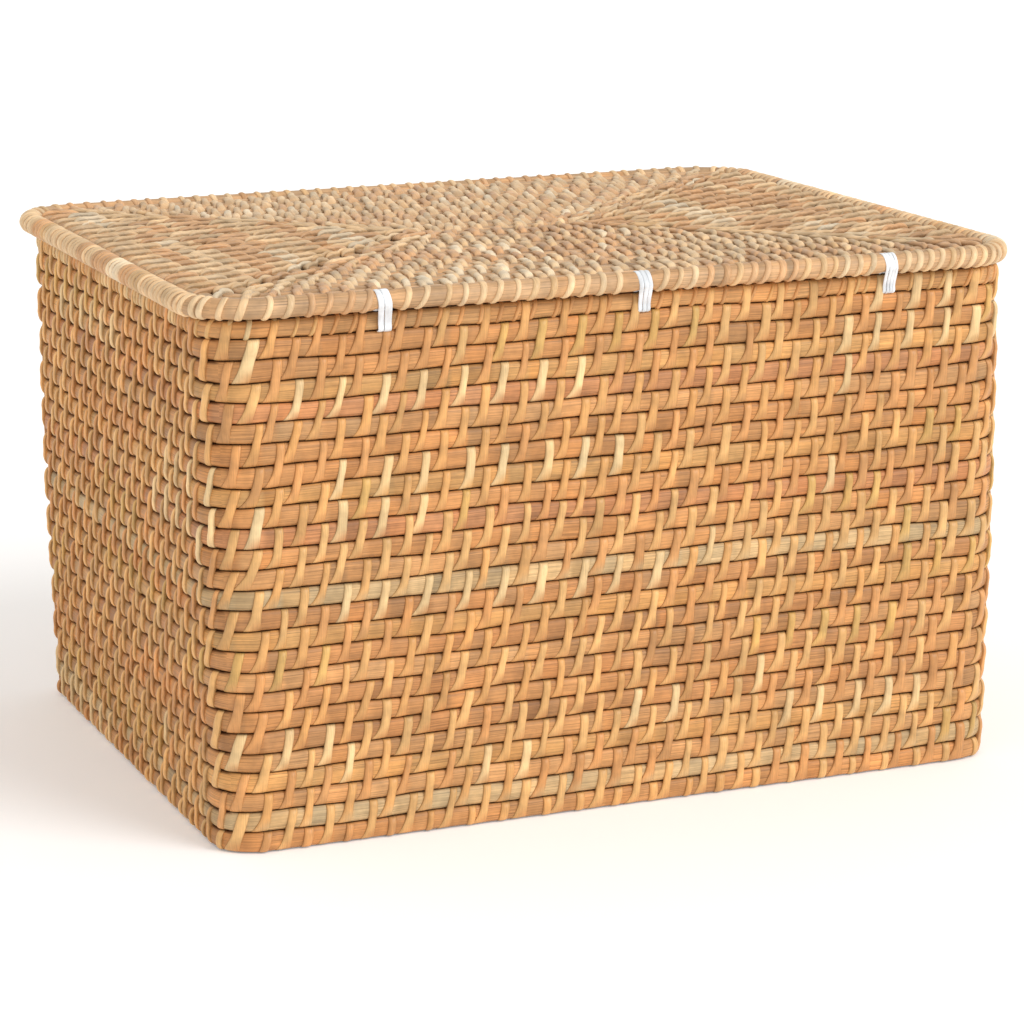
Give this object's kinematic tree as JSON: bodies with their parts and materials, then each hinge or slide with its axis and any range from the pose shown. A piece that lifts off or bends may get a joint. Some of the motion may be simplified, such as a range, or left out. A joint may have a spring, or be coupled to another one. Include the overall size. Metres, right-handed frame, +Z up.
{
  "type": "laundry hamper with lid",
  "caption": "Rectangular coiled rattan hamper with rounded edges and a flat coiled lid that swings open on tie loops along one long side.",
  "frame": {"origin": "on the floor under the middle of the closed hamper", "axes": "+X along the long side, +Z up, the side with the hinge ties faces -Y"},
  "size_m": [0.489, 0.392, 0.3022],
  "materials": {
    "tan_cane": "natural rattan, satin",
    "orange_cane": "natural rattan, satin",
    "brown_cane": "natural rattan, satin",
    "terracotta_cane": "natural rattan, satin",
    "yellow_cane": "natural rattan, satin",
    "green_grey_cane": "natural rattan, satin",
    "peel_strip": "natural rattan, satin",
    "lid_cane": "natural rattan, satin",
    "tie_white": "satin white flat cord"
  },
  "bodies": {
    "basket": {"wall_course_01": "orange_cane", "wall_course_02": "green_grey_cane", "wall_course_03": "tan_cane", "wall_course_04": "yellow_cane", "wall_course_05": "tan_cane", "wall_course_06": "brown_cane", "wall_course_07": "orange_cane", "wall_course_08": "brown_cane", "wall_course_09": "tan_cane", "wall_course_10": "brown_cane", "wall_course_11": "yellow_cane", "wall_course_12": "brown_cane", "wall_course_13": "green_grey_cane", "wall_course_14": "tan_cane", "wall_course_15": "orange_cane", "wall_course_16": "terracotta_cane", "wall_course_17": "orange_cane", "wall_course_18": "yellow_cane", "wall_course_19": "orange_cane", "wall_course_20": "orange_cane", "wall_course_21": "tan_cane", "wall_course_22": "terracotta_cane", "wall_course_23": "yellow_cane", "wall_course_24": "orange_cane", "wall_course_25": "orange_cane", "wall_course_26": "peel_strip", "base_course_01": "tan_cane", "base_course_02": "tan_cane", "base_course_03": "tan_cane", "base_course_04": "tan_cane", "base_course_05": "tan_cane", "base_course_06": "tan_cane", "base_course_07": "tan_cane", "base_course_08": "tan_cane", "base_course_09": "tan_cane", "base_course_10": "tan_cane", "base_course_11": "tan_cane", "base_course_12": "tan_cane", "base_course_13": "tan_cane", "base_centre": "tan_cane", "hinge_tie_left": "tie_white", "hinge_tie_middle": "tie_white", "hinge_tie_right": "tie_white"},
    "lid": {"lid_rim": "peel_strip", "lid_course_01": "lid_cane", "lid_course_02": "lid_cane", "lid_course_03": "lid_cane", "lid_course_04": "lid_cane", "lid_course_05": "lid_cane", "lid_course_06": "lid_cane", "lid_course_07": "lid_cane", "lid_course_08": "lid_cane", "lid_course_09": "lid_cane", "lid_course_10": "lid_cane", "lid_course_11": "lid_cane", "lid_course_12": "lid_cane", "lid_course_13": "lid_cane", "lid_course_14": "lid_cane", "lid_course_15": "lid_cane", "lid_centre": "lid_cane"}
  },
  "joints": [
    {"name": "lid_hinge", "type": "hinge", "parent": "basket", "child": "lid", "pos_m": [0, -0.19, 0.2962], "axis": [1, 0, 0], "range_deg": [0, 229]}
  ]
}
